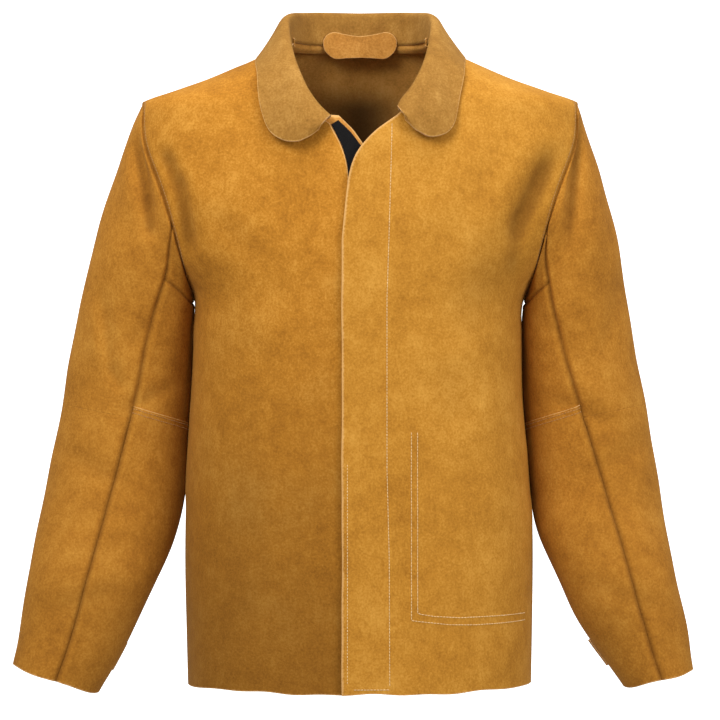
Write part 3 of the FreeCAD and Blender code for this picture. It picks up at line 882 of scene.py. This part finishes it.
loopLow = [(-42.5, 738), (-40, 731), (-30, 723), (-14, 723.3), (0, 723.6), (14, 723.3), (30, 723),
           (40, 731), (42.5, 738)]
loopHigh = [(-42.5, 744), (-38, 751), (-30, 754), (-18, 751.5), (0, 749), (18, 751.5), (30, 754),
            (38, 751), (42.5, 744)]
low, high = smoothLine(loopLow, 60), smoothLine(loopHigh, 60)
rise = np.unique(np.concatenate([np.linspace(0, 1, 14), [0.02, 0.05, 0.95, 0.98]]))[:, None]
loopX = low[:, 0] + (high[:, 0] - low[:, 0]) * rise
loopZ = low[:, 1] + (high[:, 1] - low[:, 1]) * rise
loopY = (69 - loopX ** 2 / 190 - 9 * np.cos(np.pi / 2 * loopX / 42.5) ** 2 - 0.12 * (738 - loopZ))
hangLoop = leatherSheet("hangLoop", np.stack([loopX, loopY, loopZ], -1), -backOut, "facingSuede",
                        raw={"top": 1.4, "bottom": 1.0}, replaced=["hang_loop"])
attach(hangLoop["piece"], "torso")
print("collar made")


# Rings from armhole to cuff: outer edge x, z; inner edge x, z; half depth; middle y.
# Seam: (ring, angle of the front seam from the outer edge). Folds as for the body.
sleeves = {
    1: {"name": "Left", "side": "left",
        "rings": [(249, 667, 193, 450, 76, 0), (265.6, 620, 188.2, 433, 79, 10),
                  (291.6, 531, 186, 400, 79, 18), (306.4, 450, 186.8, 358, 77, 26),
                  (319.6, 378, 187.6, 325, 74, 28), (329.8, 321, 190.2, 294, 71, 27),
                  (342.4, 240, 195.8, 225, 68, 20), (353.4, 180, 205, 176, 64, 6),
                  (362.7, 124, 233, 112, 58, -13), (373, 70, 258, 61, 52, -19),
                  (381, 18, 302, -1, 46, -26)],
        "seam": [(0, 110), (1, 115), (2, 114.4), (3, 107), (4, 100.4), (5, 94.9), (6, 84.4),
                 (7, 80), (8, 80.5), (9, 82.1), (10, 90)],
        "folds": [((249, 640), (237, 515), 9, -7.0), ((234, 590), (226, 520), 8, 2.5),
                  ((268, 610), (262, 500), 14, 2.5), ((212, 420), (260, 350), 12, -3.0),
                  ((225, 390), (275, 320), 12, 2.5), ((215, 330), (285, 300), 9, -2.5),
                  ((330, 280), (255, 240), 14, -2.0),
                  ((250, 210), (330, 160), 18, 2.0), ((262, 120), (340, 90), 14, -2.0),
                  ((300, 470), (275, 380), 12, -2.5)]},
    -1: {"name": "Right", "side": "right",
         "rings": [(249, 667, 193, 450, 76, 0), (269.6, 620, 190.4, 433, 79, 10),
                   (301, 531, 191.6, 400, 79, 18), (320, 450, 193, 358, 77, 26),
                   (334.5, 378, 195.2, 325, 74, 28), (343.6, 321, 198.4, 294, 71, 27),
                   (360, 240, 203, 222, 68, 20), (371, 180, 213, 168, 64, 6),
                   (380.3, 124, 236, 115, 58, -13), (388.6, 70, 263, 58, 52, -19),
                   (397, 24, 299.6, -8, 46, -26)],
         "seam": [(0, 109), (1, 110), (1.5, 112.5), (2, 110), (3, 102.8), (4, 101.4), (5, 97.9),
                  (6, 90.9), (7, 87.5), (8, 88.2), (9, 90.4), (10, 95)],
         "folds": [((255, 616), (242, 553), 8, -6.5), ((242, 553), (237, 515), 8, -6.0),
                   ((268, 620), (258, 540), 13, 2.5), ((292, 436), (284, 363), 8, -3.0),
                   ((284, 363), (272, 340), 8, -2.5), ((305, 430), (298, 370), 10, 2.0),
                   ((222, 440), (262, 390), 12, -2.5), ((212, 345), (270, 312), 9, -2.5),
                   ((340, 270), (270, 230), 14, -2.0), ((250, 190), (340, 150), 18, 2.0),
                   ((280, 110), (350, 90), 14, -2.0)]},
}
cuffTab = {"rings": (9.15, 9.62), "angles": (190, 252), "lift": 4.4, "studAngle": 242,
           "capRadius": 7.5, "postRadius": 5.0}


def sleevePoint(sign, ring, degrees):
    # an ellipse between the ring's edges; at the armhole its depth is the body's own
    spec = sleeves[sign]
    ring, degrees = np.broadcast_arrays(np.asarray(ring, float), np.asarray(degrees, float))
    table = np.asarray(spec["rings"], float)
    ox, oz, ix, iz, depth, middle = (
        curveThrough(np.stack([np.arange(len(table)), table[:, k]], 1), ring) for k in range(6))
    angle = np.radians(degrees)
    across = (np.cos(angle) + 1) / 2
    x, z = ix + (ox - ix) * across, iz + (oz - iz) * across
    y = middle - depth * np.sin(angle)
    seamX, seamZ = armholePoint(across)
    straight = body["underarm"][0] + (seamZ - body["underarm"][1]) * armholeLean
    x = x + (seamX - straight) * (1 - smoothstep(ring / 1.0))
    onBody = np.abs(torsoPoint(-1, torsoAngle(seamX, seamZ), seamZ)[..., 1])
    onBody = onBody * np.where(np.sin(angle) > 0, -1, 1)
    y = np.where(ring < 1.5, onBody + (y - onBody) * smoothstep(ring / 1.5), y)
    return np.stack([x, y, z], -1)


def seamAngle(sign, ring):
    return curveThrough(sleeves[sign]["seam"], ring)


def sleeveGrid(sign, ring, degrees, lift=0):
    # the ring surface, moved out by its folds, its unevenness and by lift
    point = sleevePoint(sign, ring, degrees)
    along = sleevePoint(sign, ring + 0.02, degrees) - sleevePoint(sign, ring - 0.02, degrees)
    around = sleevePoint(sign, ring, degrees + 0.3) - sleevePoint(sign, ring, degrees - 0.3)
    normal = unit(np.cross(along, around))
    centre = sleevePoint(sign, ring, degrees + 180)
    normal = normal * np.where(((point - centre) * normal).sum(-1) < 0, -1, 1)[..., None]
    x, z = point[..., 0], point[..., 2]
    front = np.sin(np.radians(degrees)) > 0
    folds = np.where(front, foldSum(sleeves[sign]["folds"], x, z),
                     foldSum([(a, b, w * 1.3, d) for a, b, w, d in sleeves[-sign]["folds"]], x, z))
    out = folds * smoothstep(np.abs(np.sin(np.radians(degrees))) / 0.5)
    out = out + 0.8 * ripple(x + point[..., 1], z, 21 + sign)
    out = out * smoothstep((ring - 0.1) / 0.5) * smoothstep((10.15 - ring) / 0.8)
    point = point + normal * (out + lift)[..., None]
    return point * np.array([sign, 1, 1]), normal * np.array([sign, 1, 1])


def sleevePiece(sign, name, ringLow, ringHigh, angleLow, angleHigh, size, dips, raw, replaced,
                lift=0, pale=True, wave=0.0, turned=("left", "right")):
    # rings run between two limits that may depend on the share across, and so may angles on ring
    spec = sleeves[sign]
    u = steps([], size[0], 4.2, closeToEdge)
    v = steps([], size[1], 4.2, closeToEdge)
    low, high = ringLow(u), ringHigh(u)
    ring = low[None] + (high - low)[None] * v[:, None]
    first, last = angleLow(ring), angleHigh(ring)
    degrees = first + (last - first) * u[None]
    grid, normal = sleeveGrid(sign, ring, degrees, lift)
    grid[..., 2] += wave * np.sin(degrees / 13) * smoothstep((ring - 9.4) / 0.6)
    return leatherSheet(name + spec["name"], grid, normal, "sleeveSuede", dips,
                        raw, pale=pale, replaced=[replaced + "_" + spec["side"]], turned=turned,
                        folds=[((sign * a[0], a[1]), (sign * b[0], b[1]), w * 0.8, d)
                               for a, b, w, d in spec["folds"]])


armpitEnd = {"seam": 1.6, "under": 0.8}  # ring at which the armpit piece ends


def fixed(value):
    # a limit of a sleeve piece that is the same at every share across
    return lambda u: value + 0 * u


sleevePanels = {}
for sign in (1, -1):
    side = sleeves[sign]["side"]
    armpit = lambda u: armpitEnd["under"] + (armpitEnd["seam"] - armpitEnd["under"]) * abs(2 * u - 1)
    elbowTop = lambda u: 4.93 - 0.2 * abs(2 * u - 1)
    front = lambda ring: seamAngle(sign, ring)
    back = lambda ring: -seamAngle(sign, ring)
    under = lambda ring: 360 - seamAngle(sign, ring)
    seamBoth = {"left": seamDip, "right": seamDip}
    upper = [
        sleevePiece(sign, "topSleeveUpper", fixed(0.0), fixed(5.0), back, front, (300, 320),
                    {**seamBoth, "bottom": seamDip}, {}, "top_sleeve_upper", pale=False,
                    turned=("left", "right", "bottom")),
        sleevePiece(sign, "armpitPiece", fixed(0.0), armpit, front, under, (170, 60),
                    {**seamBoth, "bottom": seamDip, "top": (1.6, 2.4)}, {}, "armpit_piece",
                    turned=("left", "right", "bottom", "top")),
        sleevePiece(sign, "underSleeveUpper", armpit, fixed(5.0), front, under, (170, 220),
                    {**seamBoth, "bottom": (1.6, 2.4)}, {}, "under_sleeve_upper",
                    turned=("left", "right", "bottom")),
    ]
    lower = [
        sleevePiece(sign, "topSleeveLower", fixed(5.0), fixed(10.0), back, front, (260, 300),
                    seamBoth, {"top": 2.5}, "top_sleeve_lower", pale=False, wave=0.8),
        sleevePiece(sign, "underSleeveLower", elbowTop, fixed(10.0), front, under, (150, 300),
                    seamBoth, {"top": 2.5, "bottom": 1.6}, "under_sleeve_lower", lift=1.5,
                    wave=1.0),
    ]
    for made in upper:
        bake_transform(made["piece"])
    for made in lower:
        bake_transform(made["piece"])
    sleevePanels[sign] = upper + lower
print("sleeves made")


def lathe(name, centre, normal, profile, kind, sides=40):
    # a turned part: profile is (radius, height) from the middle of the bottom to the middle of top
    normal = unit(np.asarray(normal, float))
    first = unit(np.cross(normal, [0.3, 0.2, 1.0]))
    second = np.cross(normal, first)
    turn = np.arange(sides) * 2 * np.pi / sides
    radius, height = np.asarray(profile, float).T
    ring = (centre + height[1:-1, None, None] * normal + radius[1:-1, None, None]
            * (np.cos(turn)[:, None] * first + np.sin(turn)[:, None] * second))
    points = np.concatenate([ring.reshape(-1, 3), [centre + height[0] * normal,
                                                   centre + height[-1] * normal]])
    base = np.arange((len(profile) - 2) * sides).reshape(-1, sides)
    following = np.roll(base, -1, axis=1)
    quads = np.stack([base[:-1], following[:-1], following[1:], base[1:]], -1).reshape(-1, 4)
    bottom = np.stack([np.full(sides, len(points) - 2), following[0], base[0]], -1)
    top = np.stack([np.full(sides, len(points) - 1), base[-1], following[-1]], -1)
    faces = quads.tolist() + bottom.tolist() + top.tolist()
    return meshFrom(name, toFrame(points), faces, [finishes[kind]])


for sign in (1, -1):
    spec = sleeves[sign]
    side, label = spec["side"], spec["name"]
    s = np.unique(np.concatenate([np.linspace(0, 1, 40), [0.985, 0.993, 0.998]]))
    w = np.unique(np.concatenate([np.linspace(-1, 1, 13), [-0.97, 0.97]]))
    a0, a1 = cuffTab["angles"]
    r0, r1 = cuffTab["rings"]
    half = (r1 - r0) / 2 * np.sqrt(np.clip(1 - np.clip((s - 0.82) / 0.19, 0, 1) ** 2, 0.01, 1))
    ring = (r0 + r1) / 2 + w[:, None] * half[None]
    degrees = a0 + (a1 - a0) * s[None] + 0 * ring
    rise = 1.6 + (cuffTab["lift"] - 1.6) * smoothstep(s / 0.15) + 0 * ring
    grid, normal = sleeveGrid(sign, ring, degrees, rise + 1.5)
    tab = leatherSheet("cuffTab" + label, grid, normal, "sleeveSuede",
                       raw={"right": 1.5, "top": 1.5, "bottom": 1.5},
                       replaced=["cuff_tab_" + side])
    hinge, _ = sleeveGrid(sign, np.array([(r0 + r1) / 2]), np.array([a0 + 2.0]), 4.0)
    beyond, _ = sleeveGrid(sign, np.array([(r0 + r1) / 2]), np.array([a0 + 12.0]), 4.0)
    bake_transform(tab["piece"])
    at, out = sleeveGrid(sign, np.array([(r0 + r1) / 2]), np.array([float(cuffTab["studAngle"])]),
                         1.5)
    big, small = cuffTab["capRadius"], cuffTab["postRadius"]
    cap = lathe("studCap" + label, at[0], out[0],
                [(0, 4.5), (big - 0.6, 4.5), (big, 4.9), (big, 5.4), (big - 0.5, 5.9),
                 (big - 1.2, 5.95), (big - 1.8, 5.7), (big - 2.6, 5.9), (big * 0.45, 6.5),
                 (big * 0.2, 6.7), (0, 6.75)], "metal")
    post = lathe("studPost" + label, at[0], out[0],
                 [(0, 0.1), (small, 0.1), (small, 0.8), (small - 0.5, 1.3), (small - 1.2, 1.4),
                  (small - 1.6, 2.1), (small - 2.4, 2.2), (0, 2.2)], "metal")
    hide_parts("stud_cap_" + side)
    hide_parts("stud_post_" + side)
    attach(cap, "cuff_tab_" + side)
    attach(post, "lower_sleeve_" + side)
print("cuffs made")


def onFront(points, lift=0.0):
    # points (x, z) on the left front, made dense, with the surface's normals
    points = evenly(points, 200)
    angle = torsoAngle(points[:, 0], points[:, 1])
    line = torsoSkin(-1, angle, points[:, 1], lift)
    return line, torsoNormal(-1, angle, points[:, 1])


rows = [onFront([(33, 8), (32.5, 150), (30, 250), (30, 440), (32, 500), (35, 600), (36, 640)]),
        onFront([(-14, 10), (-14, 260)]),
        onFront([(-8, 5), (36, 5)]),
        onFront([(57.2, 292), (57.2, 82), (62, 81), (100, 76.5), (130, 75.5), (188, 77)]),
        onFront([(64, 292), (64, 90), (68, 88.5), (83, 86), (111, 84), (188, 85)])]
frontStitches = stitchPiece("frontStitches", [stitchRow(*row, thread) for row in rows])
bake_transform(frontStitches)

armShare = 0.68
bodyRows = [lineAt(frontLeft, "right", 5.5, armShare, 0.995),
            lineAt(frontRight, "left", 5.5, armShare, 0.995),
            lineAt(backYoke, "bottom", 4.5, 0.01, 0.99), lineAt(backYoke, "bottom", 10.5, 0.01, 0.99),
            lineAt(backPanel, "left", 5.5, armShare + 0.06, 0.99),
            lineAt(backPanel, "right", 5.5, armShare + 0.06, 0.99)]
bodyStitches = stitchPiece("bodyStitches", [stitchRow(*row, thread) for row in bodyRows],
                           "tanThread")
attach(bodyStitches, "torso")

neckNormal = -neckFacing["normal"][-2]
neckLine = neckFacing["grid"][-2] + neckNormal * facingLeather
neckStitches = stitchPiece("neckStitches", [stitchRow(neckLine, neckNormal, thread)])
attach(neckStitches, "torso")

for sign in (1, -1):
    spec = sleeves[sign]
    lapped = sleevePanels[sign][4]
    rows = [lineAt(lapped, "bottom", 3.0, 0.02, 0.98), lineAt(lapped, "bottom", 7.5, 0.02, 0.98)]
    piece = stitchPiece("elbowStitches" + spec["name"], [stitchRow(*row, thread) for row in rows],
                        "tanThread")
    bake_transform(piece)
print("stitching made")


def stageSheet(name, profile, halfWidth, colour, glow):
    y, z = np.asarray(profile, float).T
    grid = np.stack([np.broadcast_to(np.array([-halfWidth, halfWidth]), (len(y), 2)),
                     np.repeat(y[:, None], 2, 1), np.repeat(z[:, None], 2, 1)], -1)
    tree = Tree(name)
    tree.finish(Base_Color=colour, Roughness=0.9, Emission_Color=colour, Emission_Strength=glow)
    piece = meshFrom(name, grid.reshape(-1, 3), gridFaces(len(y), 2), [tree.material])
    piece.visible_diffuse = False
    piece.visible_glossy = False
    return piece


turn = np.linspace(0, np.pi / 2, 24)
curve = [(-9.0, -1.5)] + [(3.0 + 1.5 * np.sin(a), 0.0 - 1.5 * np.cos(a)) for a in turn] + [(4.5, 9.0)]
stageSheet("backdrop", curve, 9.0, linear(252, 252, 252), 1.0)


def areaLight(name, place, target, size, power):
    data = bpy.data.lights.new(name, "AREA")
    data.shape = "RECTANGLE"
    data.size, data.size_y = size
    data.energy = power
    lamp = bpy.data.objects.new(name, data)
    lamp.location = place
    direction = np.asarray(target, float) - np.asarray(place, float)
    lamp.rotation_mode = "QUATERNION"
    lamp.rotation_quaternion = Vector(direction).to_track_quat("-Z", "Y")
    bpy.context.scene.collection.objects.link(lamp)


areaLight("keyLight", (-1.3, -2.4, 1.5), (0, 0, -0.4), (1.6, 1.6), 68)
areaLight("fillLight", (2.2, -2.2, 0.4), (0, 0, -0.4), (1.8, 1.8), 40)
areaLight("topLight", (0.2, -0.4, 2.2), (0, 0, -0.3), (2.2, 1.4), 42)

world = bpy.data.worlds.new("softRoom")
bpy.context.scene.world = world
world.use_nodes = True
world.node_tree.nodes["Background"].inputs["Color"].default_value = (1, 1, 1, 1)
world.node_tree.nodes["Background"].inputs["Strength"].default_value = 0.46

camera = bpy.data.cameras.new("camera")
camera.lens = 191.3
camera.sensor_width = 36.0
camera.clip_end = 60.0
holder = bpy.data.objects.new("camera", camera)
holder.location = (0.0, -4.46, -0.3705)
holder.rotation_euler = (np.pi / 2, 0, 0)
bpy.context.scene.collection.objects.link(holder)
bpy.context.scene.camera = holder
bpy.context.scene.view_settings.view_transform = "Standard"

bpy.context.view_layer.update()
print("scene ready")
